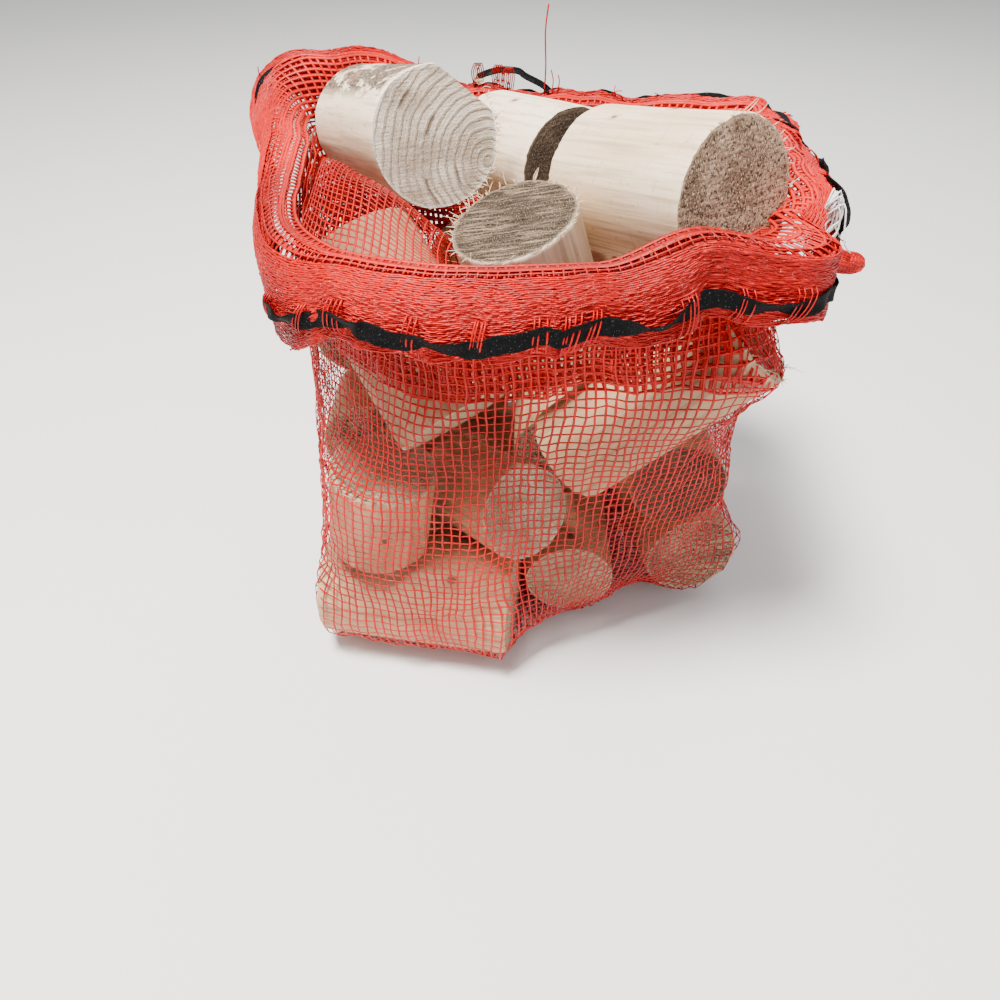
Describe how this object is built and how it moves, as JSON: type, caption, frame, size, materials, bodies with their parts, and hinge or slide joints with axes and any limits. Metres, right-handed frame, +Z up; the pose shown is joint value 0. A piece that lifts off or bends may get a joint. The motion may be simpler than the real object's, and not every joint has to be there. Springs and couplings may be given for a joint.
{
  "type": "net sack of firewood logs",
  "caption": "Open red net sack standing full of short round peeled logs, its mouth turned out over a black drawstring tape.",
  "frame": {"origin": "bottom centre of the whole object's box, on the surface it stands on", "axes": "+Z up, the low front of the turned-out mouth towards -Y, +X to its right"},
  "size_m": [0.4232, 0.3364, 0.4199],
  "materials": {
    "net": "knitted red polyethylene net, slightly shiny",
    "tape": "flat black woven tape",
    "thread": "loose white spun thread",
    "peeled_wood": "dry peeled pale wood with sawn ends"
  },
  "bodies": {
    "root": {"net_bag": "net", "drawstring_tape": "tape", "seam_thread": "thread", "log_top_left": "peeled_wood", "log_top_middle": "peeled_wood", "log_top_right": "peeled_wood", "log_centre_sawn": "peeled_wood", "log_front_left": "peeled_wood", "log_middle_left": "peeled_wood", "log_front_right": "peeled_wood", "log_middle_front": "peeled_wood", "log_bottom_left": "peeled_wood", "log_bottom_middle": "peeled_wood", "log_bottom_right": "peeled_wood", "log_middle_right": "peeled_wood", "log_inner_low": "peeled_wood", "log_back_low_left": "peeled_wood", "log_back_low_right": "peeled_wood", "log_inner_left": "peeled_wood", "log_back_middle_left": "peeled_wood", "log_inner_middle": "peeled_wood", "log_upper_left": "peeled_wood", "log_upper_back": "peeled_wood", "log_back_upper_right": "peeled_wood", "log_inner_right": "peeled_wood", "log_back_top_right": "peeled_wood"}
  },
  "joints": []
}
